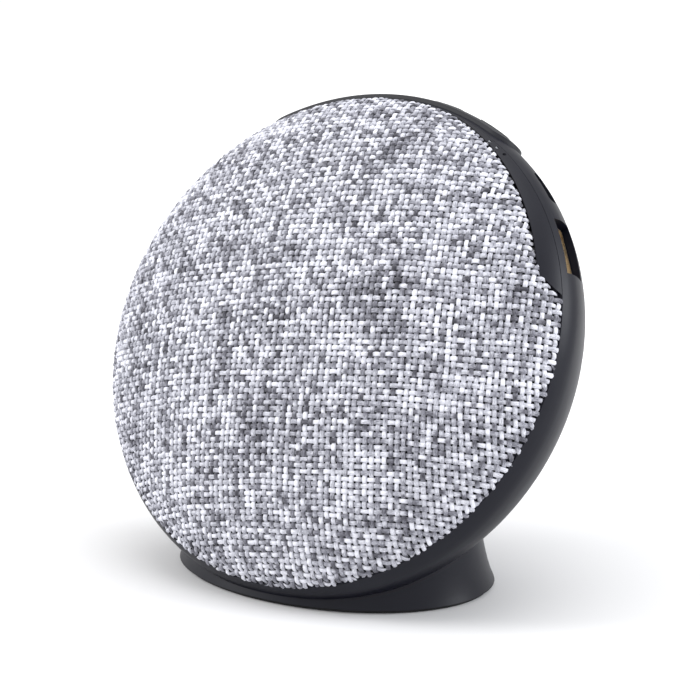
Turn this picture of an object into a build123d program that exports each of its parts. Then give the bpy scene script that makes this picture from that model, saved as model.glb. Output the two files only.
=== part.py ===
from build123d import *
import os
from math import cos, radians, sin, sqrt

# A round portable speaker. World frame: +Z up, the face looks towards -Y, origin at the middle of
# the foot's resting face. Most pieces are drawn in the head's own frame: x to the right, y up along
# the face, z out of the face, with z = 0 at the widest section. Lengths are in mm, angles in degrees.

# Head
lean = 27.5  # the face leans back this far from upright
rim_r = 64.2  # widest radius
dome_rise = 22.8  # front dome's height above the widest section
rear_depth = 36.0  # rear dome's depth behind it
head_y = 1.0  # centre of the widest section, in the world frame
head_lift = 1.054  # the rim's lowest point over the floor, along the face's slope
wall = 2.2  # moulded shells
lip_z = 5.3  # the rear shell ends here and the front begins

# Cloth and grille
cloth_t = 1.0
cloth_proud = 0.3  # the cloth stands this far over the dome
reveal = 1.1  # dark gap between lip and cloth
panel_reveal = 0.7  # gap between the bare panel and the cloth
grille_t = 1.6
skin_gap = 0.05  # between cloth and grille
grille_hole_r = 2.8
grille_pitch = 9.5
grille_border = 14.0  # rim to the last holes

# Bare control panel: the dome outside an offset circle, ended by a slanting line
panel_arc_inset = 0.5
panel_arc_x = -6.1
panel_arc_y = 1.0
panel_end_in = (69.4, 5.9)  # clock angle and distance inside the rim
panel_end_out = (76.7, -0.7)
panel_corner_r = 4.0

# Front shell
plate_t = 2.5
spigot_gap = 0.3
flange_inset = 1.0
flange_w = 8.2  # rim to the flange's inner edge
driver_hole_r = 24.5

# Keypad strip and keys
strip_half_angle = 33.8
strip_w = 11.8
strip_proud = 0.9
strip_sink = 0.5
strip_gap = 0.05
key_angles = (-26.0, -13.0, 0.0, 13.0, 26.0)
key_l = 9.0
key_w = 6.4
key_corner = 1.4
key_proud = 0.15  # over the strip
key_gap = 0.12
key_travel = 0.4
key_flange = 0.8
key_flange_t = 0.8
key_rest_gap = 0.05  # flange's corners to the shell's inner face
plunger_gap = 0.05
stem_r = 1.6

# Main board, parallel to the face under the front plate
board_t = 1.6
board_top = 1.3
board_inset = 6.8  # rim to the board's edge
board_w = 18.0
board_from = -40.0
board_to = 84.0
board_post_angles = (-34.0, 18.0, 79.0)
board_post_in = 8.0  # board edge to its screws
board_boss_r = 2.6
part_gap = 0.02  # solder film under each part

# Side-push switches on the board's underside
switch_l = 6.0
switch_d = 3.5
switch_h = 3.5
switch_inset = 0.1
plunger_l = 2.6
plunger_h = 1.5
plunger_fit = 0.1
plunger_depth = 1.7

# Sockets, both sunk into notches in the board's edge
socket_z = 0.1
notch_gap = 0.1
usb_a_angle = 62.2
usb_a_l = 13.1
usb_a_h = 5.7
usb_a_d = 14.0
usb_a_sheet = 0.35
usb_a_back = 1.0  # floor of the shell
usb_a_block = 2.6  # moulding behind the tongue
tongue_t = 1.84
tongue_w = 11.1
tongue_l = 11.0
tongue_rise = 0.7
recess_l = 14.6
recess_h = 7.0
micro_angle = 46.3
micro_l = 7.6
micro_h = 2.6
micro_d = 5.6
micro_sheet = 0.25
micro_sink = 0.4  # mouth behind the shell's inner face
micro_back = 0.8
slit_l = 9.4
slit_h = 3.6
socket_clear = 0.3
led_angles = (31.2, 33.7)
mic_angle = 36.3
pin_z = 6.15
pin_r = 0.45
pipe_r = 0.6
pipe_inset = 1.4  # board edge to the pipes
pin_clear = 0.06

# Driver
gasket_t = 0.5
driver_flange_t = 1.2
driver_flange_r = 29.0
driver_inner_r = 22.6
driver_bolt_r = 26.8
basket_depth = 13.0  # seat of the flange to the basket's back
basket_back_r = 17.5
sheet_t = 1.2
coil_r = 7.6
coil_gap = 0.3
magnet_r = 16.5
magnet_t = 6.0
top_plate_t = 2.8
yoke_t = 2.4
cone_r = 18.6
cone_t = 0.5
roll_r = 1.6
spider_t = 0.35
cap_rise = 2.6
cap_t = 0.4

# Fasteners
screw_r = 1.4
screw_head_r = 2.7
screw_head_h = 2.0
screw_fit = 0.06
boss_wall = 1.4
low_boss = (108.0, 11.0)  # clock angle and distance inside the rim
high_boss = (45.0, 31.0)
counterbore_z = -4.0
small_screw_r = 1.0
small_head_r = 1.9
small_head_h = 1.2

# Foot
foot_gap = 1.0  # the pad's thickness under the skirt
foot_sections = (
    (foot_gap, 42.5, 31.0),
    (4.0, 41.3, 29.9),
    (12.0, 39.4, 28.0),
    (24.0, 37.6, 26.2),
    (44.0, 36.0, 24.4),
)  # height, half width, half depth
foot_wall = 3.0
foot_front_wall = 4.5
pad_inset = 1.2
base_t = 2.0
base_gap = 0.15
base_draft = 1.4  # the skirt leans in by this much over the plate's thickness
base_screw_inset = 4.4
base_screw_off = 6.3  # screw to the battery's side
base_boss_r = 2.9
base_boss_h = 9.0
saddle_t = 3.0
saddle_h = 6.0
saddle_x = 20.0
cell_r = 9.2
cell_l = 65.0
cell_y = 0.8
foam_t = 1.6
foam_l = 30.0
foam_w = 9.0
saddle_gap = 0.1

# Wires and their plugs
battery_plug_angle = 70.0
speaker_plug_angle = 38.0
plug_in = 12.5  # board edge to the plugs
plug_h = 4.2
terminal_angle = 30.0
terminal_r = 21.8
wire_r = 0.65
wire_spread = 1.8

big = 400.0
head_z = rim_r * cos(radians(lean)) + head_lift
grille_field_r = rim_r - grille_border
panel_arc_r = rim_r - panel_arc_inset
board_r = rim_r - board_inset
board_inner_r = board_r - board_w
board_post_r = board_r - board_post_in
board_bottom = board_top - board_t
plug_r = board_r - plug_in
pipe_from_r = board_r - pipe_inset
usb_a_mouth_r = rim_r - wall
micro_mouth_r = rim_r - wall - micro_sink
recess_from_r = board_r - 1.0
plate_z = lip_z - plate_t
key_z = board_bottom - part_gap - switch_h / 2
switch_face_r = board_r - switch_inset
plunger_tip_r = switch_face_r + 1.5
cloth_z = lip_z + reveal
seat_z = lip_z + gasket_t
flange_z = seat_z + driver_flange_t
back_z = seat_z - basket_depth
key_low = key_z - key_w / 2 - key_flange
key_inner_r = (rim_r - wall) * sqrt(1 - (key_low / (rear_depth - wall)) ** 2)
key_flange_r = sqrt((key_inner_r - key_rest_gap) ** 2 - (key_l / 2 + key_flange) ** 2)
head = Plane(
    origin=(0, head_y, head_z),
    x_dir=(1, 0, 0),
    z_dir=(0, -cos(radians(lean)), sin(radians(lean))),
).location


def surface_r(z, grow=0.0):
    """Radius of the head's surface at z on its axis, grown outwards by grow."""
    height = (dome_rise if z >= 0 else rear_depth) + grow
    return (rim_r + grow) * sqrt(1 - (z / height) ** 2)


def head_solid(grow):
    """The whole head as one lens of two half ellipses, grown outwards by grow."""
    radius = rim_r + grow
    rear = EllipticalCenterArc((0, 0), radius, rear_depth + grow, start_angle=270, arc_size=90)
    front = EllipticalCenterArc((0, 0), radius, dome_rise + grow, start_angle=0, arc_size=90)
    middle = Line((0, dome_rise + grow), (0, -rear_depth - grow))
    return revolve(Plane.XZ * make_face([rear, front, middle]), Axis.Z, 360)


def slab(low, high):
    return Pos(0, 0, (low + high) / 2) * Box(big, big, high - low)


def disc(radius, low, high, hole=0.0):
    face = Circle(radius)
    if hole:
        face -= Circle(hole)
    return Pos(0, 0, low) * extrude(face, high - low)


def turned(points):
    """A ring turned from a closed outline of (radius, z) points."""
    return revolve(Plane.XZ * make_face(Polyline(*points, close=True)), Axis.Z, 360)


def outward(angle, radius, z):
    """A place on the rim: its z points outwards, its x along the rim, its y out of the face."""
    a = radians(angle)
    return Plane(
        origin=(radius * sin(a), radius * cos(a), z),
        x_dir=(-cos(a), sin(a), 0),
        z_dir=(sin(a), cos(a), 0),
    ).location


def upward(angle, radius, z):
    """A place on the board: its z points out of the face, its y outwards."""
    a = radians(angle)
    return Plane(
        origin=(radius * sin(a), radius * cos(a), z),
        x_dir=(cos(a), -sin(a), 0),
        z_dir=(0, 0, 1),
    ).location


def post(length, radius, start=0.0):
    return Pos(0, 0, start) * extrude(Circle(radius), length)


def block(length, width, height, start=0.0):
    return Pos(0, 0, start) * extrude(Rectangle(length, width), height)


def soft_block(length, width, height, corner, start=0.0):
    return Pos(0, 0, start) * extrude(RectangleRounded(length, width, corner), height)


def wedge(low, high, radius):
    """A flat fan between two clock angles."""
    steps = 8
    rim = [radians(low + (high - low) * i / steps) for i in range(steps + 1)]
    corners = [(0, 0)] + [(radius * sin(a), radius * cos(a)) for a in rim]
    return make_face(Polyline(*corners, close=True))


def panel_face(grow):
    """The bare panel's outline on the face, grown towards the cloth."""
    (x0, y0), (x1, y1) = [
        ((rim_r - inset) * sin(radians(a)), (rim_r - inset) * cos(radians(a)))
        for a, inset in (panel_end_in, panel_end_out)
    ]
    length = sqrt((x1 - x0) ** 2 + (y1 - y0) ** 2)
    along = ((x1 - x0) / length, (y1 - y0) / length)
    off = (along[1] * grow, -along[0] * grow)
    inner = (x0 - along[0] * 2 * rim_r + off[0], y0 - along[1] * 2 * rim_r + off[1])
    outer = (x1 + along[0] * rim_r + off[0], y1 + along[1] * rim_r + off[1])
    over = Polyline(inner, (-2 * rim_r, 3 * rim_r), (3 * rim_r, 3 * rim_r), outer, close=True)
    right = Pos(rim_r, 0) * Rectangle(2 * rim_r, 4 * rim_r)
    arc = Pos(panel_arc_x, panel_arc_y) * Circle(panel_arc_r - grow)
    face = ((make_face(over) & right) - arc).faces().sort_by(SortBy.AREA)[-1]
    corner = face.vertices().sort_by_distance((x0 + off[0], y0 + off[1], 0))[0]
    return face.fillet_2d(panel_corner_r, [corner])


def usb_a_space(clear, inner_r):
    return outward(usb_a_angle, inner_r, socket_z) * block(
        usb_a_l + 2 * clear, usb_a_h + 2 * clear, rim_r
    )


def micro_space(clear, inner_r):
    return outward(micro_angle, inner_r, socket_z) * block(
        micro_l + 2 * clear, micro_h + 2 * clear, rim_r
    )


def strip_prism(grow):
    width = 2 * rim_r * sin(radians(strip_half_angle)) + 2 * grow
    top = Plane(origin=(0, rim_r / 2, key_z), x_dir=(1, 0, 0), z_dir=(0, 1, 0))
    return extrude(top * SlotOverall(width, strip_w + 2 * grow), rim_r)


def key_windows(grow):
    return [
        outward(a, key_flange_r - 1, key_z)
        * soft_block(key_l + 2 * grow, key_w + 2 * grow, 9, key_corner + grow)
        for a in key_angles
    ]


def screw(head_r, head_h, radius, length):
    """A pan-head screw, its head's underside at z = 0 and its shank towards +z."""
    cross = [Rot(0, 0, a) * Box(head_r * 1.2, 0.5, 1.0) for a in (0, 90)]
    body = Pos(0, 0, -head_h) * extrude(Circle(head_r), head_h) + post(length, radius)
    return body - [Pos(0, 0, -head_h) * c for c in cross]


def housing_bosses():
    """Clock angle and radius of the four screws that pull the two shells together."""
    return [(side * a, rim_r - inset) for a, inset in (low_boss, high_boss) for side in (1, -1)]


def foot_column(inset, front_inset, low=None):
    """The flared oval column under the head, its walls moved in."""
    faces = []
    for height, half_w, half_d in foot_sections:
        z = height if low is None else max(height - foot_gap + low, low)
        depth = half_d - (inset + front_inset) / 2
        shift = (front_inset - inset) / 2
        faces.append(Pos(0, shift, z) * Ellipse(half_w - inset, depth))
    return loft(faces)


def rear_housing():
    outer = head * (head_solid(0) & slab(-rear_depth - 1, lip_z)) + foot_column(0, 0)
    inner = head * (head_solid(-wall) & slab(-rear_depth, lip_z + 1))
    body = outer - (inner + foot_column(foot_wall, foot_front_wall, low=0))
    body -= head * slab(lip_z, lip_z + dome_rise)
    body -= Pos(0, 0, foot_gap - 10) * Box(big, big, 20)
    shaft = screw_r + screw_fit
    for angle, radius in housing_bosses():
        at = upward(angle, radius, -rear_depth)
        boss = at * post(rear_depth + plate_z, screw_head_r + boss_wall)
        body += head * (boss & head_solid(-1))
        body -= head * at * post(2 * rear_depth, shaft)
        body -= head * at * post(rear_depth + counterbore_z, screw_head_r + 0.3)
    inside = foot_column(foot_wall / 2, foot_front_wall / 2)
    for x, y in base_screw_places():
        at = Pos(x, y, foot_gap + base_t)
        body += (at * post(base_boss_h, base_boss_r)) & inside
        body -= at * post(base_boss_h - wall, small_screw_r + screw_fit)
    pocket = (head_solid(4) - head_solid(-strip_sink - strip_gap)) & strip_prism(strip_gap)
    body -= head * pocket
    for window in key_windows(key_gap):
        body -= head * window
    body -= head * socket_recess()
    return body - head * outward(micro_angle, recess_from_r, socket_z) * soft_block(slit_l, slit_h, 12, 1.2)


def socket_recess():
    return outward(usb_a_angle, recess_from_r, socket_z) * block(recess_l, recess_h, 12)


def front_shell():
    top = head_solid(0)
    plate = disc(surface_r(lip_z, -wall) - spigot_gap, plate_z, lip_z)
    flange = disc(surface_r(lip_z) - flange_inset, lip_z, cloth_z, hole=rim_r - flange_w)
    over_lip = slab(lip_z + 0.12, lip_z + 40)
    panel = extrude(panel_face(0), 40) & top & over_lip
    hollow = extrude(panel_face(-wall), 40) & head_solid(-wall) & slab(lip_z, 40)
    body = plate + (flange - extrude(panel_face(0), 40)) + (panel - hollow)
    body -= disc(driver_hole_r, 0, 40)
    body -= usb_a_space(socket_clear, usb_a_mouth_r - usb_a_d - 1)
    body -= socket_recess()
    body -= micro_space(socket_clear, micro_mouth_r - micro_d - 1)
    for angle in led_angles:
        body -= light_pipe(angle, pin_clear)
    body -= outward(mic_angle, board_r - 4.0, pin_z) * post(12, pin_r)
    posts = [
        upward(a, board_post_r, board_top) * post(plate_z - board_top, board_boss_r)
        for a in board_post_angles
    ]
    body += posts
    for angle in board_post_angles:
        body -= upward(angle, board_post_r, board_top) * post(3.4, small_screw_r + screw_fit)
    for angle, radius in housing_bosses():
        body -= upward(angle, radius, plate_z - 1) * post(wall + 0.6, screw_r + screw_fit)
    for i in range(4):
        body -= upward(45 + 90 * i, driver_bolt_r, plate_z) * post(4, small_screw_r + screw_fit)
    return body


def light_pipe(angle, clear=0.0):
    upright = upward(angle, pipe_from_r, board_top + 1.0 - clear) * post(
        pin_z + pin_r + clear - board_top - 1.0 + clear, pipe_r + clear
    )
    rod = outward(angle, pipe_from_r, pin_z) * post(
        surface_r(pin_z) - pipe_from_r - 0.05 + 3 * clear, pin_r + clear
    )
    return upright + rod


def fabric_cover():
    skin = head_solid(cloth_proud) - head_solid(cloth_proud - cloth_t)
    return (skin & slab(cloth_z, 60)) - extrude(panel_face(panel_reveal), 60)


def grille():
    outer = cloth_proud - cloth_t - skin_gap
    body = (head_solid(outer) - head_solid(outer - grille_t)) & slab(cloth_z, 60)
    body -= extrude(panel_face(panel_reveal + cloth_t), 60)
    for angle in led_angles:
        body -= light_pipe(angle, pin_clear)
    count = int(grille_field_r / grille_pitch) + 1
    holes = []
    for row in range(-count - 1, count + 2):
        for column in range(-count - 1, count + 2):
            x = (column + 0.5 * (row % 2)) * grille_pitch
            y = row * grille_pitch * sqrt(3) / 2
            if x * x + y * y < grille_field_r**2:
                holes.append(Pos(x, y, 0) * post(60, grille_hole_r))
    return body - holes


def keypad_strip():
    band = head_solid(strip_proud) - head_solid(-strip_sink)
    return (band & strip_prism(0)) - key_windows(key_gap)


def key(angle):
    cap = outward(angle, key_flange_r, key_z) * soft_block(key_l, key_w, 9, key_corner)
    cap &= head_solid(strip_proud + key_proud)
    flange = outward(angle, key_flange_r - key_flange_t, key_z) * soft_block(
        key_l + 2 * key_flange, key_w + 2 * key_flange, key_flange_t, key_corner
    )
    start = plunger_tip_r + plunger_gap
    stem = outward(angle, start, key_z) * post(key_flange_r - key_flange_t - start, stem_r)
    return cap + flange + stem


def switch_body(angle):
    inner = switch_face_r - switch_d
    case = outward(angle, inner, key_z) * block(switch_l, switch_h, switch_d)
    cavity = outward(angle, switch_face_r - plunger_depth - key_travel - 0.2, key_z) * block(
        plunger_l + 2 * plunger_fit, plunger_h + 2 * plunger_fit, switch_d
    )
    return case - cavity


def switch_plunger(angle):
    start = switch_face_r - plunger_depth
    return outward(angle, start, key_z) * block(plunger_l, plunger_h, plunger_tip_r - start)


def usb_a_shell():
    at = outward(usb_a_angle, usb_a_mouth_r - usb_a_d, socket_z)
    case = soft_block(usb_a_l, usb_a_h, usb_a_d, 0.6)
    bore = soft_block(usb_a_l - 2 * usb_a_sheet, usb_a_h - 2 * usb_a_sheet, usb_a_d, 0.4, usb_a_back)
    slots = [Pos(x, 0, usb_a_d - 2.4) * Box(2.3, 2 * usb_a_h, 2.6) for x in (-3.4, 3.4)]
    return at * (case - bore - slots)


def usb_a_tongue():
    at = outward(usb_a_angle, usb_a_mouth_r - usb_a_d + usb_a_back, socket_z)
    back = block(usb_a_l - 2 * usb_a_sheet - 0.2, usb_a_h - 2 * usb_a_sheet - 0.2, usb_a_block)
    tongue = Pos(0, tongue_rise, 0) * block(tongue_w, tongue_t, tongue_l)
    return at * (back + tongue)


def usb_a_contacts():
    at = outward(usb_a_angle, usb_a_mouth_r - usb_a_d + usb_a_back + usb_a_block, socket_z)
    y = tongue_rise - tongue_t / 2 - 0.12
    strips = [Pos(x, y, 0.1) * block(1.0, 0.2, 7.6) for x in (-3.5, -1.0, 1.0, 3.5)]
    return [at * s for s in strips]


def micro_usb_shell():
    at = outward(micro_angle, micro_mouth_r - micro_d, socket_z)
    case = soft_block(micro_l, micro_h, micro_d, 0.6)
    bore = soft_block(
        micro_l - 2 * micro_sheet, micro_h - 2 * micro_sheet, micro_d, 0.4, micro_back
    )
    return at * (case - bore)


def micro_usb_tongue():
    at = outward(micro_angle, micro_mouth_r - micro_d + micro_back, socket_z)
    back = block(micro_l - 2 * micro_sheet - 0.2, micro_h - 2 * micro_sheet - 0.2, 1.2)
    return at * (back + Pos(0, 0.3, 0) * block(3.7, 0.6, 4.0))


def main_board():
    face = (Circle(board_r) - Circle(board_inner_r)) & wedge(board_from, board_to, 2 * rim_r)
    body = Pos(0, 0, board_bottom) * extrude(face, board_t)
    body -= usb_a_space(notch_gap, usb_a_mouth_r - usb_a_d - notch_gap)
    body -= micro_space(notch_gap, micro_mouth_r - micro_d - notch_gap)
    for angle in board_post_angles:
        body -= upward(angle, board_post_r, -5) * post(10, small_screw_r + screw_fit)
    return body


def on_top(angle, radius, length, width, height):
    return upward(angle, radius, board_top + part_gap) * block(length, width, height)


def under_board(angle, radius, length, width, height):
    z = board_bottom - part_gap - height
    return upward(angle, radius, z) * block(length, width, height)


def capacitors():
    height = 5.4
    z = board_bottom - part_gap - height
    return [upward(a, board_r - 12.0, z) * post(height, 3.1) for a in (2.0, 11.0)]


def driver_basket():
    t = sheet_t
    skirt = turned(
        [
            (driver_inner_r, flange_z),
            (driver_flange_r, flange_z),
            (driver_flange_r, seat_z),
            (driver_inner_r + t, seat_z),
            (basket_back_r, back_z),
            (coil_r + 2, back_z),
            (coil_r + 2, back_z + t),
            (basket_back_r - t, back_z + t),
            (driver_inner_r, seat_z),
        ]
    )
    windows = [
        upward(45 + 90 * i, 20, back_z + 4.6) * block(14, 16, 5.6) for i in range(4)
    ]
    body = skirt - windows
    for i in range(4):
        body -= upward(45 + 90 * i, driver_bolt_r, seat_z - 1) * post(4, small_screw_r + screw_fit)
    return body


def driver_gasket():
    ring = disc(driver_flange_r - 0.4, lip_z, seat_z, hole=driver_hole_r)
    for i in range(4):
        ring -= upward(45 + 90 * i, driver_bolt_r, lip_z - 1) * post(4, small_screw_r + screw_fit)
    return ring


def driver_surround():
    middle = (cone_r + 0.3 + driver_inner_r - 0.4) / 2
    roll = (Circle(roll_r) - Circle(roll_r - 0.35)) & (Pos(0, roll_r) * Rectangle(9, 2 * roll_r))
    lip_out = Pos(middle + roll_r + 0.9, 0.175) * Rectangle(2.2, 0.35)
    lip_in = Pos(middle - roll_r + 0.1, -0.12) * Rectangle(0.5, 0.3)
    profile = Pos(middle, 0) * roll + lip_out + lip_in
    return revolve(Plane.XZ * (Pos(0, flange_z) * profile), Axis.Z, 360)


def driver_spider():
    z = back_z + 3.8
    inner = coil_r + 0.15
    outer = basket_back_r - sheet_t + 1.0
    folds = 9
    low, high = [], []
    for i in range(folds + 1):
        r = inner + (outer - inner) * i / folds
        rise = 0.6 if i % 2 else -0.2
        if i in (0, folds):
            rise = 0.0
        low.append((r, z + rise))
        high.append((r, z + rise + spider_t))
    return turned(low + high[::-1])


def cone():
    top = flange_z - 0.15
    foot = back_z + 5.9
    inner = coil_r + 0.05
    return turned(
        [(inner, foot), (cone_r, top - cone_t), (cone_r, top), (inner, foot + cone_t + 0.2)]
    )


def dust_cap():
    edge = coil_r + 0.9
    ball_r = (edge**2 + cap_rise**2) / (2 * cap_rise)
    base = back_z + 7.2
    ball = Sphere(ball_r) - Sphere(ball_r - cap_t)
    return (Pos(0, 0, base + cap_rise - ball_r) * ball) & slab(base, base + rim_r)


def driver_screws():
    flip = Rot(180, 0, 0)
    return [
        upward(45 + 90 * i, driver_bolt_r, flange_z)
        * flip
        * screw(small_head_r, small_head_h, small_screw_r, 3.6)
        for i in range(4)
    ]


def housing_screws():
    return [
        upward(a, r, counterbore_z) * screw(screw_head_r, screw_head_h, screw_r, 8.2)
        for a, r in housing_bosses()
    ]


def board_screws():
    z = board_bottom
    return [
        upward(a, board_post_r, z) * screw(small_head_r, small_head_h, small_screw_r, 4.4)
        for a in board_post_angles
    ]


def base_axes(gap):
    """Half width, half depth and middle of the oval opening under the foot, less a gap."""
    _, half_w, half_d = foot_sections[0]
    depth = half_d - (foot_wall + foot_front_wall) / 2 - gap
    return half_w - foot_wall - gap, depth, (foot_front_wall - foot_wall) / 2


def base_screw_places():
    """One screw in front of the cell and one behind it on each side, just inside the plate's edge."""
    half_w, depth, shift = base_axes(base_gap)
    places = []
    for y in (cell_y - cell_r - base_screw_off, cell_y + cell_r + base_screw_off):
        x = half_w * sqrt(1 - ((y - shift) / depth) ** 2) - base_screw_inset
        places += [(-x, y), (x, y)]
    return places


def cell_axis_z():
    return foot_gap + base_t + foam_t + cell_r + 0.05


def base_plate():
    top = foot_gap + base_t
    half_w, depth, shift = base_axes(base_gap + base_draft)
    body = Pos(0, shift, foot_gap) * extrude(Ellipse(half_w, depth), base_t)
    for x in (-saddle_x, saddle_x):
        body += Pos(x, cell_y, top + saddle_h / 2) * Box(saddle_t, 2 * cell_r + 2, saddle_h)
    cell = Pos(-cell_l, cell_y, cell_axis_z()) * Rot(0, 90, 0) * post(2 * cell_l, cell_r + saddle_gap)
    body -= cell
    for x, y in base_screw_places():
        body -= Pos(x, y, 0) * post(6, small_screw_r + screw_fit)
        body -= Pos(x, y, 0) * post(foot_gap + small_head_h + 0.1, small_head_r + 0.2)
    return body


def base_screws():
    z = foot_gap + small_head_h + 0.1
    return [
        Pos(x, y, z) * screw(small_head_r, small_head_h, small_screw_r, 6.0)
        for x, y in base_screw_places()
    ]


def foot_pad():
    half_w = foot_sections[0][1] - pad_inset
    half_d = foot_sections[0][2] - pad_inset
    return extrude(Ellipse(half_w, half_d), foot_gap)


def battery_cell():
    body = Pos(-cell_l / 2, cell_y, cell_axis_z()) * Rot(0, 90, 0) * post(cell_l - 0.8, cell_r)
    cap = Pos(cell_l / 2 - 0.8, cell_y, cell_axis_z()) * Rot(0, 90, 0) * post(0.8, 2.8)
    return body + cap


def battery_foam():
    return Pos(0, cell_y, foot_gap + base_t) * block(foam_l, foam_w, foam_t)


def wire_pair(points, radii):
    """Two insulated wires side by side along one route of straight runs and arcs."""
    wires = []
    for side in (-wire_spread / 2, wire_spread / 2):
        route = FilletPolyline(*[(x + side, y, z) for x, y, z in points], radius=radii)
        end = Plane(origin=route @ 0, z_dir=route % 0)
        wires.append(sweep(end * Circle(wire_r), path=route))
    return wires


def world_point(x, y, z):
    """A head-frame point in the world frame."""
    c, s = cos(radians(lean)), sin(radians(lean))
    return (x, head_y + y * s - z * c, head_z + y * c + z * s)


def on_face(angle, radius, z):
    """A head-frame point at a clock angle and radius."""
    return (radius * sin(radians(angle)), radius * cos(radians(angle)), z)


def speaker_wires():
    start = on_face(speaker_plug_angle, plug_r, board_bottom - plug_h - 0.1)
    end = on_face(terminal_angle, terminal_r + 1.9, -1.2)
    points = [start, (start[0], start[1], -9.5), (20.0, 31.0, -9.5), (15.5, 26.8, -1.2), end]
    return wire_pair(points, 2.0)


def battery_wires():
    top = world_point(*on_face(battery_plug_angle, plug_r, board_bottom - plug_h - 0.1))
    turn = world_point(*on_face(battery_plug_angle, plug_r, board_bottom - plug_h - 5.0))
    over = cell_axis_z() + cell_r
    points = [top, turn, (38.0, 12.0, head_z - 8.0), (30.0, cell_y + 2, over + 9), (28.0, cell_y, over + 0.4)]
    return wire_pair(points, 2.0)


head_pieces = {
    "front_shell": front_shell,
    "fabric_cover": fabric_cover,
    "grille": grille,
    "keypad_strip": keypad_strip,
    "usb_a_shell": usb_a_shell,
    "usb_a_tongue": usb_a_tongue,
    "usb_a_contacts": usb_a_contacts,
    "micro_usb_shell": micro_usb_shell,
    "micro_usb_tongue": micro_usb_tongue,
    "main_board": main_board,
    "switch_bodies": lambda: [switch_body(a) for a in key_angles],
    "leds": lambda: [on_top(a, pipe_from_r, 1.2, 0.9, 0.8) for a in led_angles],
    "light_pipes": lambda: [light_pipe(a) for a in led_angles],
    "microphone": lambda: on_top(mic_angle + 0.8, board_r - 3.5, 2.8, 3.6, 1.0),
    "bluetooth_chip": lambda: on_top(-20.0, board_r - 9.0, 7.0, 7.0, 0.9),
    "amplifier_chip": lambda: under_board(-12.0, board_r - 11.5, 5.0, 5.0, 1.0),
    "power_inductor": lambda: under_board(26.0, board_r - 11.5, 6.0, 6.0, 3.0),
    "capacitors": capacitors,
    "battery_connector": lambda: under_board(battery_plug_angle, plug_r, 6.0, 5.5, plug_h),
    "speaker_connector": lambda: under_board(speaker_plug_angle, plug_r, 6.0, 5.5, plug_h),
    "speaker_wires": speaker_wires,
    "board_screws": board_screws,
    "housing_screws": housing_screws,
    "driver_gasket": driver_gasket,
    "driver_basket": driver_basket,
    "driver_surround": driver_surround,
    "driver_spider": driver_spider,
    "driver_screws": driver_screws,
    "driver_top_plate": lambda: disc(
        15.0, back_z - top_plate_t, back_z, hole=coil_r + 0.4 + coil_gap
    ),
    "driver_magnet": lambda: disc(
        magnet_r, back_z - top_plate_t - magnet_t, back_z - top_plate_t, hole=coil_r + 2.2
    ),
    "driver_yoke": lambda: disc(
        15.5, back_z - top_plate_t - magnet_t - yoke_t, back_z - top_plate_t - magnet_t
    )
    + disc(coil_r - 0.5, back_z - top_plate_t - magnet_t, back_z - 0.2),
    "driver_terminals": lambda: outward(terminal_angle, terminal_r, -0.6) * block(9.0, 4.0, 1.2),
    "cone": cone,
    "dust_cap": dust_cap,
    "coil_former": lambda: disc(coil_r, back_z - 5.4, back_z + 5.7, hole=coil_r - 0.25),
    "voice_coil": lambda: disc(coil_r + 0.4, back_z - 4.2, back_z + 1.2, hole=coil_r + 0.02),
}
for number, angle in enumerate(key_angles, start=1):
    head_pieces[f"button_{number}"] = lambda a=angle: key(a)
    head_pieces[f"switch_plunger_{number}"] = lambda a=angle: switch_plunger(a)

world_pieces = {
    "rear_housing": rear_housing,
    "base_plate": base_plate,
    "base_screws": base_screws,
    "foot_pad": foot_pad,
    "battery_cell": battery_cell,
    "battery_foam": battery_foam,
    "battery_wires": battery_wires,
}


def write(name, shape, place=Location()):
    solids = []
    for item in shape if isinstance(shape, (list, ShapeList)) else [shape]:
        solids.extend((place * s) for s in item.solids())
    export_step(Compound(children=solids) if len(solids) > 1 else solids[0], f"parts/{name}.step")
    print(name, len(solids), flush=True)


os.makedirs("parts", exist_ok=True)
for piece_name, make in head_pieces.items():
    write(piece_name, make(), head)
for piece_name, make in world_pieces.items():
    write(piece_name, make())
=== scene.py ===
import math

import bmesh
import bpy
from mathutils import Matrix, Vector


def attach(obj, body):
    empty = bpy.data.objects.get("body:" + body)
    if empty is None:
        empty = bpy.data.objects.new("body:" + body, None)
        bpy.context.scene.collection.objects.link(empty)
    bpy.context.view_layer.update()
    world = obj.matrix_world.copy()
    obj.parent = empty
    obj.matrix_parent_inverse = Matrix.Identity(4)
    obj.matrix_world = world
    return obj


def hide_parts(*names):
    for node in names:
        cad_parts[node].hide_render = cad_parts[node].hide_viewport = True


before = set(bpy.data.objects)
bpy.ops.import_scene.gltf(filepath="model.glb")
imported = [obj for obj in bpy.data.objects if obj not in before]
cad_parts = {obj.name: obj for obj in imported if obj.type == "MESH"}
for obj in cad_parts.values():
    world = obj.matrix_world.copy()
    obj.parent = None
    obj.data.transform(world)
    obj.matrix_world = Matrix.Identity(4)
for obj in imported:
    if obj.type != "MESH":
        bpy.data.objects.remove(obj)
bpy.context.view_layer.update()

# Sizes in metres, in the head's own frame: x right, y up along the face, z out of the face.
LEAN = math.radians(27.5)
HEAD_Y = 0.001
HEAD_Z = 0.058
RIM = 0.0642
DOME_RISE = 0.0228
CLOTH_PROUD = 0.0003

# Weave
WEAVE_TURN = math.radians(8.0)
ROWS = 92
COLUMNS = 88
ROW_PITCH = 0.00148
COLUMN_PITCH = 0.00154
YARN_WIDTH = 0.00116
YARN_THICKNESS = 0.0005
CRIMP = 0.00025
CLOTH_EDGE = 0.0621
ROLL = 0.0006
TUCK = 0.0004
STEPS_PER_CROSSING = 4
CROWN = 1.3  # above 1 the crossings are flatter than a plain cosine
WANDER = 0.0003
SLUB = 0.6
DRIFT = 0.0022  # how far neighbouring yarns stray together
DRIFT_SCALE = 38.0
YARN_SIDES = 6

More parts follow.
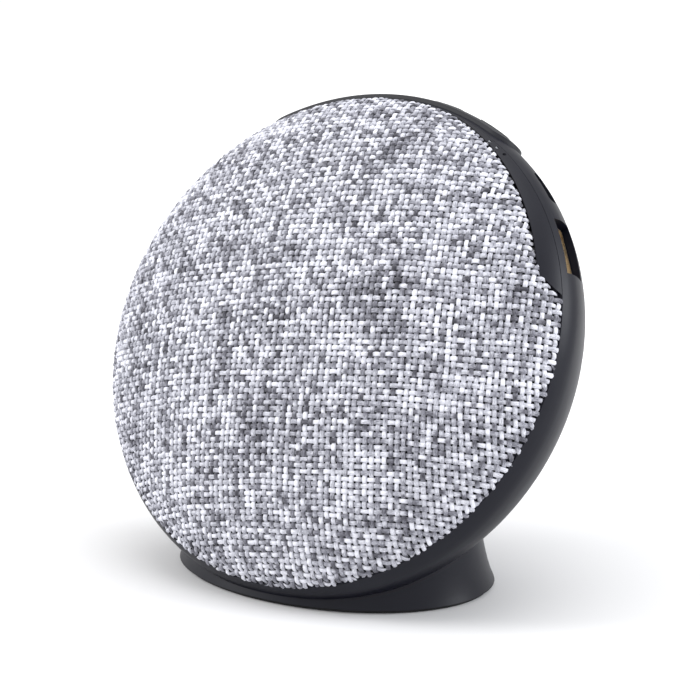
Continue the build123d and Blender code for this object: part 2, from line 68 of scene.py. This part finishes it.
# Black scrim under the yarns, and the cut size of the cloth
SCRIM = 0.0002
SCRIM_LIFT = 0.00005
SCRIM_INSET = 0.0002

# Bare control panel's outline, grown by its gap
ARC_X = -0.0061
ARC_Y = 0.0010
ARC_R = 0.0630
END_X = 0.05416
END_Y = 0.01992
END_DX = 0.8402
END_DY = -0.5423
END_GAP = 0.0004
CORNER = 0.004

SHARP_EDGE = math.radians(28.0)
PAPER_HALF = 12.0
# How far from the object the painted shadow on the floor reaches before the paper turns white
PAINTED_SHADOW_REACH = 0.45


class Wire:
    """A node socket that adds, multiplies and compares as a number does."""

    def __init__(self, tree, socket=None):
        self.tree = tree
        self.socket = socket

    def node(self, kind, settings=None, values=None, out=0):
        """Adds a node, sets its options and then its sockets, and gives one of its outputs."""
        made = self.tree.nodes.new(kind)
        for name, value in (settings or {}).items():
            if name == "stops":
                ramp = made.color_ramp
                while len(ramp.elements) < len(value):
                    ramp.elements.new(0.5)
                for element, (place, colour) in zip(ramp.elements, value):
                    element.position = place
                    element.color = (*colour, 1.0)
            else:
                setattr(made, name, value)
        for name, value in (values or {}).items():
            socket = made.inputs[name]
            if isinstance(value, Wire):
                self.tree.links.new(value.socket, socket)
            else:
                socket.default_value = value
        return Wire(self.tree, made.outputs[out])

    def also(self, out):
        """Another output of the same node."""
        return Wire(self.tree, self.socket.node.outputs[out])

    def maths(self, operation, *others):
        values = {i: v for i, v in enumerate((self, *others))}
        return self.node("ShaderNodeMath", {"operation": operation}, values)

    def _left(self, operation, other):
        return self.node("ShaderNodeMath", {"operation": operation}, {0: other, 1: self})

    def __add__(self, other):
        return self.maths("ADD", other)

    def __radd__(self, other):
        return self._left("ADD", other)

    def __sub__(self, other):
        return self.maths("SUBTRACT", other)

    def __rsub__(self, other):
        return self._left("SUBTRACT", other)

    def __mul__(self, other):
        return self.maths("MULTIPLY", other)

    def __rmul__(self, other):
        return self._left("MULTIPLY", other)

    def __truediv__(self, other):
        return self.maths("DIVIDE", other)

    def __rtruediv__(self, other):
        return self._left("DIVIDE", other)

    def __neg__(self):
        return self.maths("MULTIPLY", -1.0)


def larger(a, b):
    if isinstance(a, Wire):
        return a.maths("MAXIMUM", b)
    return max(a, b)


def smaller(a, b):
    if isinstance(a, Wire):
        return a.maths("MINIMUM", b)
    return min(a, b)


def root(a):
    if isinstance(a, Wire):
        return larger(a, 0.0).maths("SQRT")
    return math.sqrt(max(a, 0.0))


def cloth_depth(x, y):
    """How far a place on the face lies inside the cloth's outline, and the way inwards there."""
    radius = root(x * x + y * y) + 1e-6
    rim_depth = CLOTH_EDGE - radius
    arc_x = x - ARC_X
    arc_y = y - ARC_Y
    arc_radius = root(arc_x * arc_x + arc_y * arc_y) + 1e-6
    from_arc = ARC_R - arc_radius
    from_end = (x - END_X) * END_DY - (y - END_Y) * END_DX - END_GAP
    over_arc = larger(from_arc + CORNER, 0.0)
    over_end = larger(from_end + CORNER, 0.0)
    bend = root(over_arc * over_arc + over_end * over_end) + 1e-6
    panel_depth = smaller(larger(from_arc, from_end), -CORNER) + bend
    in_x = (over_end * END_DY - over_arc * arc_x / arc_radius) / bend
    in_y = (over_arc * arc_y / arc_radius + over_end * END_DX) / bend * -1.0
    if isinstance(x, Wire):
        on_rim = rim_depth.maths("LESS_THAN", panel_depth)
    else:
        on_rim = 1.0 if rim_depth < panel_depth else 0.0
    in_x = on_rim * (x / radius * -1.0 - in_x) + in_x
    in_y = on_rim * (y / radius * -1.0 - in_y) + in_y
    return smaller(rim_depth, panel_depth), in_x, in_y


def dome_height(x, y, grow):
    """Height of the dome, grown outwards by grow, over a place on the face."""
    ratio = 1.0 - (x * x + y * y) / (RIM + grow) ** 2
    return root(larger(ratio, 0.0)) * (DOME_RISE + grow)


def from_head(x, y, z):
    """The three world coordinates of a place in the head's frame."""
    s, c = math.sin(LEAN), math.cos(LEAN)
    return x, HEAD_Y + y * s - z * c, HEAD_Z + y * c + z * s


def turn_from_head(x, y, z):
    s, c = math.sin(LEAN), math.cos(LEAN)
    return x, y * s - z * c, y * c + z * s


def arc_radius_for(limit):
    """Radius of the circle whose sine law lays yarns evenly over the dome."""
    steps = 400
    length = 0.0
    last = (0.0, DOME_RISE)
    for i in range(1, steps + 1):
        r = limit * i / steps
        here = (r, DOME_RISE * math.sqrt(1 - (r / RIM) ** 2))
        length += math.dist(last, here)
        last = here
    low, high = limit, 20 * limit
    for _ in range(60):
        middle = (low + high) / 2
        if middle * math.sin(min(length / middle, math.pi / 2)) < limit:
            low = middle
        else:
            high = middle
    return high


DRAPE = arc_radius_for(CLOTH_EDGE)


def new_group(name, sockets):
    tree = bpy.data.node_groups.new(name, "GeometryNodeTree")
    for label, kind in sockets:
        tree.interface.new_socket(name=label, in_out="INPUT", socket_type=kind)
    tree.interface.new_socket(name="Geometry", in_out="OUTPUT", socket_type="NodeSocketGeometry")
    start = tree.nodes.new("NodeGroupInput")
    wires = {label: Wire(tree, start.outputs[label]) for label, _ in sockets}
    return tree, wires


def finish_group(tree, geometry):
    end = tree.nodes.new("NodeGroupOutput")
    tree.links.new(geometry.socket, end.inputs["Geometry"])


def grown(name, tree, values):
    """The plain mesh that a node group makes from these values."""
    holder = bpy.data.objects.new(name + "_maker", bpy.data.meshes.new(name + "_maker"))
    bpy.context.scene.collection.objects.link(holder)
    modifier = holder.modifiers.new("Make", "NODES")
    modifier.node_group = tree
    for item in tree.interface.items_tree:
        if item.in_out == "INPUT" and item.name in values:
            modifier[item.identifier] = values[item.name]
    graph = bpy.context.evaluated_depsgraph_get()
    mesh = bpy.data.meshes.new_from_object(holder.evaluated_get(graph))
    mesh.name = name
    bpy.data.objects.remove(holder)
    piece = bpy.data.objects.new(name, mesh)
    bpy.context.scene.collection.objects.link(piece)
    return piece


def yarn_group():
    """Yarns of one direction of a plain weave, laid over the dome and rolled in at its edge."""
    tree, given = new_group(
        "plain_weave_yarns",
        [
            ("Yarns", "NodeSocketInt"),
            ("First Yarn", "NodeSocketInt"),
            ("Yarns Made", "NodeSocketInt"),
            ("Pitch", "NodeSocketFloat"),
            ("Crossing Pitch", "NodeSocketFloat"),
            ("Steps", "NodeSocketInt"),
            ("Steps Per Crossing", "NodeSocketFloat"),
            ("Phase", "NodeSocketFloat"),
            ("Turn", "NodeSocketFloat"),
            ("Width", "NodeSocketFloat"),
            ("Thickness", "NodeSocketFloat"),
            ("Crimp", "NodeSocketFloat"),
            ("Wander", "NodeSocketFloat"),
            ("Slub", "NodeSocketFloat"),
            ("Seed", "NodeSocketFloat"),
            ("Finish", "NodeSocketMaterial"),
        ],
    )
    start = Wire(tree)
    line = start.node("GeometryNodeMeshLine", values={"Count": given["Steps"], "Offset": (0.001, 0, 0)})
    seats = start.node(
        "GeometryNodeMeshLine", values={"Count": given["Yarns Made"], "Offset": (0, 0.001, 0)}
    )
    placed = start.node("GeometryNodeInstanceOnPoints", values={"Points": seats, "Instance": line})
    loose = start.node("GeometryNodeRealizeInstances", values={"Geometry": placed})
    index = start.node("GeometryNodeInputIndex")
    yarn = (index / given["Steps"]).maths("FLOOR")
    step = index - yarn * given["Steps"]
    yarn = yarn + given["First Yarn"]
    along = (step - (given["Steps"] - 1.0) / 2.0) * given["Crossing Pitch"] / given["Steps Per Crossing"]
    across = (yarn - (given["Yarns"] - 1.0) / 2.0) * given["Pitch"]

    def wandering(scale, shift, detail=1.0):
        place = start.node(
            "ShaderNodeCombineXYZ",
            values={"X": along * scale, "Y": yarn * 7.31 + shift, "Z": given["Seed"]},
        )
        return start.node(
            "ShaderNodeTexNoise",
            {"noise_dimensions": "3D"},
            {"Vector": place, "Scale": 1.0, "Detail": detail},
        )

    across = across + (wandering(260.0, 0.5) - 0.5) * given["Wander"]
    wave = (along / given["Crossing Pitch"] + given["Phase"] + yarn) * math.pi
    wave = larger(smaller(wave.maths("COSINE") * CROWN, 1.0), -1.0)
    laid_along = (along / DRAPE).maths("SINE") * DRAPE
    laid_across = (across / DRAPE).maths("SINE") * DRAPE
    cosine = given["Turn"].maths("COSINE")
    sine = given["Turn"].maths("SINE")
    x = laid_along * cosine - laid_across * sine
    y = laid_along * sine + laid_across * cosine
    spot = start.node("ShaderNodeCombineXYZ", values={"X": x, "Y": y, "Z": 0.0})
    drift = start.node(
        "ShaderNodeTexNoise",
        {"noise_dimensions": "3D"},
        {"Vector": spot, "Scale": DRIFT_SCALE, "Detail": 1.0},
        out=1,
    )
    split = start.node("ShaderNodeSeparateXYZ", values={"Vector": drift})
    x = x + (split - 0.5) * DRIFT
    y = y + (split.also(1) - 0.5) * DRIFT
    depth, in_x, in_y = cloth_depth(x, y)
    beyond = larger(-depth, 0.0)
    x = x + in_x * beyond
    y = y + in_y * beyond
    into_roll = larger(smaller((ROLL - depth) / ROLL, 1.0), 0.0)
    fall = ROLL - root(1.0 - into_roll * into_roll) * ROLL + beyond
    middle = CLOTH_PROUD - YARN_THICKNESS / 2 - CRIMP
    z = dome_height(x, y, middle)
    squat = ((DOME_RISE + middle) / (RIM + middle)) ** 2
    upright_x = x * squat
    upright_y = y * squat
    size = root(upright_x * upright_x + upright_y * upright_y + z * z)
    keep = root(1.0 - into_roll * into_roll)
    nx = upright_x / size * keep - in_x * into_roll
    ny = upright_y / size * keep - in_y * into_roll
    nz = z / size * keep
    lift = wave * given["Crimp"]
    place = start.node(
        "ShaderNodeCombineXYZ",
        values=dict(zip("XYZ", from_head(x + nx * lift, y + ny * lift, z - fall + nz * lift))),
    )
    upright = start.node(
        "ShaderNodeCombineXYZ", values=dict(zip("XYZ", turn_from_head(nx, ny, nz)))
    )
    thick = 1.0 + (wandering(420.0, 3.5, 2.0) - 0.5) * given["Slub"]
    heather = wandering(330.0, 9.5, 2.0)
    tone = start.node("FunctionNodeRandomValue", {"data_type": "FLOAT"}, {"ID": yarn, "Seed": 11}, out=1)
    kept = loose
    for label, kind, value in (
        ("upright", "FLOAT_VECTOR", upright),
        ("thick", "FLOAT", thick),
        ("heather", "FLOAT", heather),
        ("tone", "FLOAT", tone),
        ("hem", "FLOAT", fall / ROLL),
        ("outside", "FLOAT", -depth),
    ):
        kept = start.node(
            "GeometryNodeStoreNamedAttribute",
            {"data_type": kind, "domain": "POINT"},
            {"Geometry": kept, "Name": label, "Value": value},
        )
    kept = start.node("GeometryNodeSetPosition", values={"Geometry": kept, "Position": place})

    def stored(label, kind="FLOAT"):
        return start.node("GeometryNodeInputNamedAttribute", {"data_type": kind}, {"Name": label})

    cut = start.node(
        "GeometryNodeDeleteGeometry",
        {"domain": "POINT", "mode": "ALL"},
        {"Geometry": kept, "Selection": stored("outside").maths("GREATER_THAN", TUCK)},
    )
    strands = start.node("GeometryNodeMeshToCurve", values={"Mesh": cut})
    strands = start.node(
        "GeometryNodeSetCurveNormal",
        {"mode": "FREE"},
        {"Curve": strands, "Normal": stored("upright", "FLOAT_VECTOR")},
    )
    oval = start.node("GeometryNodeCurvePrimitiveCircle", values={"Resolution": YARN_SIDES, "Radius": 0.5})
    flat = start.node(
        "ShaderNodeCombineXYZ",
        values={"X": given["Thickness"], "Y": given["Width"], "Z": 1.0},
    )
    oval = start.node("GeometryNodeTransform", values={"Geometry": oval, "Scale": flat})
    tubes = start.node(
        "GeometryNodeCurveToMesh",
        values={"Curve": strands, "Profile Curve": oval, "Scale": stored("thick"), "Fill Caps": True},
    )
    smooth = start.node("GeometryNodeSetShadeSmooth", values={"Geometry": tubes})
    dressed = start.node("GeometryNodeRealizeInstances", values={"Geometry": smooth})
    finish_group(
        tree,
        start.node(
            "GeometryNodeSetMaterial", values={"Geometry": dressed, "Material": given["Finish"]}
        ),
    )
    return tree


# Finishes


def new_finish(name):
    """An empty material with its shader, and a wire to build on."""
    material = bpy.data.materials.new(name)
    material.use_nodes = True
    tree = material.node_tree
    shader = tree.nodes["Principled BSDF"]
    return material, shader, Wire(tree)


def feed(wire, shader, socket):
    wire.tree.links.new(wire.socket, shader.inputs[socket])


def blend_colours(start, amount, low, high):
    """A mix of two colours, each one fixed or a wire. Sockets 6 and 7 are the node's colour inputs."""
    low, high = (c if isinstance(c, Wire) else (*c, 1.0) for c in (low, high))
    return start.node(
        "ShaderNodeMix", {"data_type": "RGBA"}, {"Factor": amount, 6: low, 7: high}, out=2
    )


def moulded(
    name,
    dark,
    light,
    rough=(0.45, 0.6),
    grain=2600.0,
    depth=0.00002,
    metal=0.0,
    stretch=(1.0, 1.0, 1.0),
    specular=0.5,
    strength=0.35,
):
    """A moulded, rolled or cast surface: a fine grain over broad, faint patches."""
    material, shader, start = new_finish(name)
    place = start.node("ShaderNodeTexCoord", out=3)
    drawn = start.node("ShaderNodeMapping", values={"Vector": place, "Scale": stretch})
    fine = start.node(
        "ShaderNodeTexNoise", values={"Vector": drawn, "Scale": grain, "Detail": 3.0}
    )
    broad = start.node(
        "ShaderNodeTexNoise", values={"Vector": drawn, "Scale": 55.0, "Detail": 4.0}
    )
    amount = larger(smaller(broad * 1.1 + (fine - 0.5) * 0.7 - 0.05, 1.0), 0.0)
    feed(blend_colours(start, amount, dark, light), shader, "Base Color")
    feed(rough[0] + (broad * 0.6 + fine * 0.4) * (rough[1] - rough[0]), shader, "Roughness")
    bump = start.node(
        "ShaderNodeBump", values={"Height": fine, "Strength": strength, "Distance": depth}
    )
    feed(bump, shader, "Normal")
    shader.inputs["Metallic"].default_value = metal
    shader.inputs["Specular IOR Level"].default_value = specular
    return material


def yarn_finish(name, turn):
    """Slubby heathered yarn, pale fibres broken by grey ones, with painted shade where it ends under the
    edge.
    """
    material, shader, start = new_finish(name)
    heather = start.node("ShaderNodeAttribute", {"attribute_name": "heather"}, out=2)
    tone = start.node("ShaderNodeAttribute", {"attribute_name": "tone"}, out=2)
    hem = start.node("ShaderNodeAttribute", {"attribute_name": "hem"}, out=2)
    place = start.node("ShaderNodeTexCoord", out=3)
    upright = start.node(
        "ShaderNodeMapping", values={"Vector": place, "Rotation": (LEAN - math.pi / 2, 0.0, 0.0)}
    )
    lengthwise = start.node(
        "ShaderNodeMapping", values={"Vector": upright, "Rotation": (0.0, 0.0, -turn)}
    )
    lengthwise = start.node(
        "ShaderNodeMapping", values={"Vector": lengthwise, "Scale": (900.0, 6500.0, 3000.0)}
    )
    fibre = start.node(
        "ShaderNodeTexNoise", values={"Vector": lengthwise, "Scale": 1.0, "Detail": 2.0}
    )
    cloud = start.node("ShaderNodeTexNoise", values={"Vector": place, "Scale": 60.0, "Detail": 2.0})
    amount = heather * 1.7 + (tone - 0.5) * 0.2 + (fibre - 0.5) * 0.7 + (cloud - 0.5) * 0.3 - 0.35
    charcoal_to_white = [
        (0.10, (0.045, 0.044, 0.056)),
        (0.34, (0.19, 0.19, 0.225)),
        (0.52, (0.44, 0.445, 0.50)),
        (0.72, (0.72, 0.725, 0.79)),
    ]
    shade = start.node("ShaderNodeValToRGB", {"stops": charcoal_to_white}, {"Fac": amount})
    # Painted shade: the yarn goes near black where it has fallen past the roll and tucks under the edge,
    # standing in for the shadow in the groove there.
    edge = larger(smaller((hem - 1.0) * 3.0, 1.0), 0.0)
    feed(blend_colours(start, edge, shade, (0.006, 0.006, 0.008)), shader, "Base Color")
    feed(0.75 + fibre * 0.2, shader, "Roughness")
    bump = start.node(
        "ShaderNodeBump", values={"Height": fibre, "Strength": 0.6, "Distance": 0.0001}
    )
    feed(bump, shader, "Normal")
    shader.inputs["Sheen Weight"].default_value = 0.15
    shader.inputs["Specular IOR Level"].default_value = 0.25
    return material


def board_finish():
    """Green solder mask with faint copper tracks under it."""
    material, shader, start = new_finish("circuit_board")
    place = start.node("ShaderNodeTexCoord", out=3)
    cells = start.node(
        "ShaderNodeTexVoronoi",
        {"distance": "MANHATTAN", "feature": "F1"},
        {"Vector": place, "Scale": 420.0},
    )
    track = cells.maths("GREATER_THAN", 0.62)
    grain = start.node("ShaderNodeTexNoise", values={"Vector": place, "Scale": 900.0, "Detail": 2.0})
    base = blend_colours(start, grain, (0.004, 0.05, 0.018), (0.008, 0.085, 0.03))
    feed(blend_colours(start, track * 0.7, base, (0.03, 0.17, 0.06)), shader, "Base Color")
    feed(0.28 + grain * 0.2, shader, "Roughness")
    bump = start.node(
        "ShaderNodeBump", values={"Height": track, "Strength": 0.3, "Distance": 0.00003}
    )
    feed(bump, shader, "Normal")
    return material


def lens_finish():
    """Smoked clear plastic with a little haze."""
    material, shader, start = new_finish("light_pipe_clear")
    place = start.node("ShaderNodeTexCoord", out=3)
    haze = start.node("ShaderNodeTexNoise", values={"Vector": place, "Scale": 1500.0, "Detail": 2.0})
    feed(blend_colours(start, haze, (0.16, 0.17, 0.19), (0.30, 0.31, 0.34)), shader, "Base Color")
    feed(0.12 + haze * 0.25, shader, "Roughness")
    return material


def floor_finish():
    """Matt paper with a painted shadow: greyer where the object stands than further out."""
    material, shader, start = new_finish("studio_floor")
    place = start.node("ShaderNodeTexCoord", out=3)
    mottle = start.node("ShaderNodeTexNoise", values={"Vector": place, "Scale": 3.0, "Detail": 2.0})
    split = start.node("ShaderNodeSeparateXYZ", values={"Vector": place})
    # Painted shadow: the floor's colour greys towards the object, standing in for the soft shadow around
    # it; a faint random mottle is mixed in.
    far = root(split * split + split.also(1) * split.also(1)) / PAINTED_SHADOW_REACH
    painted_shadow_and_mottle = smaller(far, 1.0) * 0.96 + mottle * 0.04
    feed(blend_colours(start, painted_shadow_and_mottle, (0.66, 0.66, 0.67), (1.0, 1.0, 1.0)), shader, "Base Color")
    feed(0.85 + mottle * 0.1, shader, "Roughness")
    shader.inputs["Specular IOR Level"].default_value = 0.1
    return material


FINISHES = [
    (
        moulded(
            "housing_black",
            (0.0035, 0.0038, 0.008),
            (0.0065, 0.007, 0.0135),
            rough=(0.34, 0.46),
            grain=3000.0,
            depth=0.000015,
            specular=0.22,
        ),
        ["front_shell", "rear_housing"],
    ),
    (
        moulded("grille_black", (0.008, 0.008, 0.01), (0.014, 0.014, 0.017), rough=(0.6, 0.8)),
        ["grille", "base_plate"],
    ),
    (
        moulded(
            "keypad_rubber",
            (0.007, 0.0075, 0.011),
            (0.013, 0.014, 0.019),
            rough=(0.45, 0.6),
            grain=4200.0,
            specular=0.3,
        ),
        ["keypad_strip", *(f"button_{i}" for i in range(1, 6))],
    ),
    (
        moulded(
            "foot_rubber",
            (0.010, 0.010, 0.012),
            (0.02, 0.02, 0.022),
            rough=(0.7, 0.9),
            grain=1800.0,
            depth=0.00005,
        ),
        ["foot_pad"],
    ),
    (
        moulded(
            "plated_socket",
            (0.62, 0.52, 0.38),
            (0.80, 0.70, 0.54),
            rough=(0.2, 0.36),
            metal=1.0,
            stretch=(1.0, 1.0, 0.15),
        ),
        ["usb_a_shell", "micro_usb_shell"],
    ),
    (
        moulded("socket_moulding", (0.50, 0.42, 0.30), (0.62, 0.53, 0.40), rough=(0.4, 0.55)),
        ["usb_a_tongue", "micro_usb_tongue"],
    ),
    (
        moulded(
            "gold_contact", (0.85, 0.62, 0.28), (0.95, 0.74, 0.38), rough=(0.18, 0.3), metal=1.0
        ),
        ["usb_a_contacts"],
    ),
    (board_finish(), ["main_board"]),
    (
        moulded("led_body", (0.75, 0.72, 0.60), (0.86, 0.84, 0.74), rough=(0.25, 0.4)),
        ["leds"],
    ),
    (lens_finish(), ["light_pipes"]),
    (
        moulded("chip_epoxy", (0.012, 0.012, 0.013), (0.03, 0.03, 0.031), rough=(0.5, 0.7)),
        ["amplifier_chip", "bluetooth_chip", "microphone", "power_inductor", "switch_bodies"],
    ),
    (
        moulded("can_sleeve", (0.03, 0.035, 0.05), (0.06, 0.07, 0.09), rough=(0.25, 0.4)),
        ["capacitors"],
    ),
    (
        moulded("plug_nylon", (0.70, 0.68, 0.60), (0.82, 0.80, 0.73), rough=(0.4, 0.6)),
        ["battery_connector", "speaker_connector", "driver_terminals"],
    ),
    (
        moulded(
            "screw_steel",
            (0.42, 0.42, 0.44),
            (0.58, 0.58, 0.60),
            rough=(0.25, 0.42),
            metal=1.0,
            stretch=(1.0, 1.0, 0.2),
        ),
        ["base_screws", "board_screws", "driver_screws", "housing_screws"],
    ),
    (
        moulded("plunger_nylon", (0.55, 0.10, 0.07), (0.66, 0.14, 0.1), rough=(0.4, 0.55)),
        [f"switch_plunger_{i}" for i in range(1, 6)],
    ),
    (
        moulded("basket_paint", (0.02, 0.02, 0.022), (0.04, 0.04, 0.043), rough=(0.4, 0.6)),
        ["driver_basket"],
    ),
    (
        moulded("zinc_plate", (0.50, 0.50, 0.49), (0.64, 0.64, 0.62), rough=(0.3, 0.45), metal=1.0),
        ["driver_top_plate", "driver_yoke"],
    ),
    (
        moulded(
            "ferrite", (0.035, 0.035, 0.037), (0.07, 0.07, 0.073), rough=(0.55, 0.75), grain=1500.0
        ),
        ["driver_magnet"],
    ),
    (
        moulded(
            "foam",
            (0.03, 0.03, 0.032),
            (0.09, 0.09, 0.095),
            rough=(0.85, 0.97),
            grain=1600.0,
            depth=0.00012,
            strength=0.8,
        ),
        ["driver_gasket", "battery_foam"],
    ),
    (
        moulded(
            "cone_paper",
            (0.03, 0.029, 0.028),
            (0.075, 0.072, 0.068),
            rough=(0.75, 0.92),
            grain=1400.0,
            depth=0.00005,
        ),
        ["cone", "dust_cap"],
    ),
    (
        moulded("surround_rubber", (0.012, 0.012, 0.013), (0.02, 0.02, 0.022), rough=(0.5, 0.6)),
        ["driver_surround"],
    ),
    (
        moulded(
            "spider_cloth",
            (0.42, 0.25, 0.06),
            (0.60, 0.40, 0.12),
            rough=(0.8, 0.95),
            grain=2200.0,
            depth=0.00008,
        ),
        ["driver_spider"],
    ),
    (
        moulded("former_film", (0.45, 0.27, 0.10), (0.60, 0.38, 0.16), rough=(0.3, 0.45)),
        ["coil_former"],
    ),
    (
        moulded(
            "enamelled_copper",
            (0.60, 0.22, 0.08),
            (0.78, 0.34, 0.14),
            rough=(0.2, 0.35),
            metal=1.0,
            stretch=(0.2, 0.2, 1.0),
            grain=4500.0,
        ),
        ["voice_coil"],
    ),
    (
        moulded("cell_sleeve", (0.02, 0.12, 0.28), (0.03, 0.17, 0.36), rough=(0.22, 0.36)),
        ["battery_cell"],
    ),
    (
        moulded("wire_sleeve", (0.30, 0.015, 0.012), (0.42, 0.03, 0.02), rough=(0.35, 0.5)),
        ["battery_wires", "speaker_wires"],
    ),
]


def dress(piece, material):
    """Puts one finish on every part of a piece."""
    if piece.material_slots:
        for held in piece.material_slots:
            held.material = material
    else:
        piece.data.materials.append(material)


for material, nodes in FINISHES:
    for node in nodes:
        dress(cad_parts[node], material)


def smooth_copy(node):
    """A joined and smoothly shaded copy of a CAD node."""
    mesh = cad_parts[node].data.copy()
    shape = bmesh.new()
    shape.from_mesh(mesh)
    bmesh.ops.remove_doubles(shape, verts=shape.verts, dist=1e-6)
    for edge in shape.edges:
        edge.smooth = len(edge.link_faces) == 2 and edge.calc_face_angle(0.0) <= SHARP_EDGE
    for face in shape.faces:
        face.smooth = True
    shape.to_mesh(mesh)
    shape.free()
    piece = bpy.data.objects.new(node + "_skin", mesh)
    bpy.context.scene.collection.objects.link(piece)
    return piece


# Cloth


def backing_sheet():
    """The black scrim that shows between the yarns, following the cloth's outline."""
    shape = bmesh.new()
    spokes, rings = 240, 36
    grow = CLOTH_PROUD - YARN_THICKNESS - 2 * CRIMP + SCRIM_LIFT
    middle = shape.verts.new(from_head(0.0, 0.0, dome_height(0.0, 0.0, grow)))
    rows = []
    for k in range(spokes):
        a = 2 * math.pi * k / spokes
        low, high = 0.0, CLOTH_EDGE
        for _ in range(30):
            half = (low + high) / 2
            depth, _, _ = cloth_depth(half * math.sin(a), half * math.cos(a))
            low, high = (half, high) if depth > SCRIM_INSET else (low, half)
        row = []
        for i in range(1, rings + 1):
            r = low * math.sin(math.pi / 2 * i / rings)
            x, y = r * math.sin(a), r * math.cos(a)
            row.append(shape.verts.new(from_head(x, y, dome_height(x, y, grow))))
        rows.append(row)
    for k in range(spokes):
        here, after = rows[k], rows[(k + 1) % spokes]
        shape.faces.new((middle, after[0], here[0]))
        for i in range(rings - 1):
            shape.faces.new((here[i], after[i], after[i + 1], here[i + 1]))
    bmesh.ops.recalc_face_normals(shape, faces=shape.faces)
    if sum(f.normal.y for f in shape.faces) > 0:
        bmesh.ops.reverse_faces(shape, faces=shape.faces)
    for face in shape.faces:
        face.smooth = True
    mesh = bpy.data.meshes.new("cloth_scrim")
    shape.to_mesh(mesh)
    shape.free()
    piece = bpy.data.objects.new("cloth_scrim", mesh)
    bpy.context.scene.collection.objects.link(piece)
    wall = piece.modifiers.new("Thickness", "SOLIDIFY")
    wall.thickness = SCRIM
    wall.offset = -1.0
    return piece


scrim = backing_sheet()
scrim_black = moulded(
    "scrim_black",
    (0.004, 0.004, 0.005),
    (0.012, 0.012, 0.015),
    rough=(0.8, 0.95),
    grain=2400.0,
    depth=0.00008,
)
dress(scrim, scrim_black)
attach(scrim, "housing")
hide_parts("fabric_cover")

yarns = yarn_group()
ROW_PHASE = (COLUMNS - 1) / 2
COLUMN_PHASE = (ROWS - 1) / 2 + COLUMNS
for direction, count, pitch, crossings, crossing_pitch, phase, turn, seed in (
    ("row", ROWS, ROW_PITCH, COLUMNS, COLUMN_PITCH, ROW_PHASE, WEAVE_TURN, 3.1),
    ("column", COLUMNS, COLUMN_PITCH, ROWS, ROW_PITCH, COLUMN_PHASE, WEAVE_TURN + math.pi / 2, 8.7),
):
    finish = yarn_finish(f"heather_{direction}_yarn", turn)
    for half in range(2):
        piece = grown(
            f"cloth_{direction}_yarns_{half + 1}",
            yarns,
            {
                "Yarns": count,
                "First Yarn": half * (count // 2),
                "Yarns Made": count // 2 + half * (count % 2),
                "Pitch": pitch,
                "Crossing Pitch": crossing_pitch,
                "Steps": crossings * STEPS_PER_CROSSING + 1,
                "Steps Per Crossing": float(STEPS_PER_CROSSING),
                "Phase": phase,
                "Turn": turn,
                "Width": YARN_WIDTH,
                "Thickness": YARN_THICKNESS,
                "Crimp": CRIMP,
                "Wander": WANDER,
                "Slub": SLUB,
                "Seed": seed,
                "Finish": finish,
            },
        )
        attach(piece, "housing")

# Shells and keys with smooth shading
SKINS = [
    ("rear_housing", "housing", "housing_plastic"),
    ("front_shell", "housing", "housing_plastic"),
    ("keypad_strip", "housing", "keypad_rubber"),
    ("foot_pad", "housing", "foot_rubber"),
    *((f"button_{i}", f"key_{i}", "key_plastic") for i in range(1, 6)),
]
for node, body, slot in SKINS:
    skin = smooth_copy(node)
    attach(skin, body)
    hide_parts(node)

# Studio
floor_mesh = bpy.data.meshes.new("floor")
corners = [(x * PAPER_HALF, y * PAPER_HALF, 0.0) for x, y in ((-1, -1), (1, -1), (1, 1), (-1, 1))]
floor_mesh.from_pydata(corners, [], [(0, 1, 2, 3)])
floor = bpy.data.objects.new("floor", floor_mesh)
bpy.context.scene.collection.objects.link(floor)
dress(floor, floor_finish())


def softbox(name, place, aim, size, power, colour=(1.0, 1.0, 1.0)):
    """A round soft lamp at a place, turned to what it lights."""
    lamp = bpy.data.lights.new(name, "AREA")
    lamp.shape = "DISK"
    lamp.size = size
    lamp.energy = power
    lamp.color = colour
    holder = bpy.data.objects.new(name, lamp)
    holder.location = place
    holder.rotation_euler = (Vector(aim) - Vector(place)).to_track_quat("-Z", "Y").to_euler()
    bpy.context.scene.collection.objects.link(holder)


softbox("overhead", (0.0, 0.1, 1.5), (0.0, 0.0, 0.05), 1.3, 9.0)
softbox("front_left", (-1.4, -0.8, 1.0), (0.0, 0.0, 0.06), 0.9, 22.0)
softbox("right", (1.25, 0.45, 0.75), (0.0, 0.0, 0.06), 0.7, 12.0, (0.93, 0.96, 1.0))

world = bpy.data.worlds.new("studio")
world.use_nodes = True
sky = world.node_tree.nodes["Background"]
sky.inputs["Color"].default_value = (1.0, 1.0, 1.0, 1.0)
sky.inputs["Strength"].default_value = 0.98
bpy.context.scene.world = world
bpy.context.scene.view_settings.view_transform = "Standard"

lens = bpy.data.cameras.new("view")
lens.lens = 108.7
lens.sensor_width = 36.0
lens.clip_start = 0.01
camera = bpy.data.objects.new("view", lens)
camera.location = (0.2756, -0.4260, 0.1679)
camera.rotation_euler = Vector((-0.5242, 0.8241, -0.2149)).to_track_quat("-Z", "Y").to_euler()
bpy.context.scene.collection.objects.link(camera)
bpy.context.scene.camera = camera
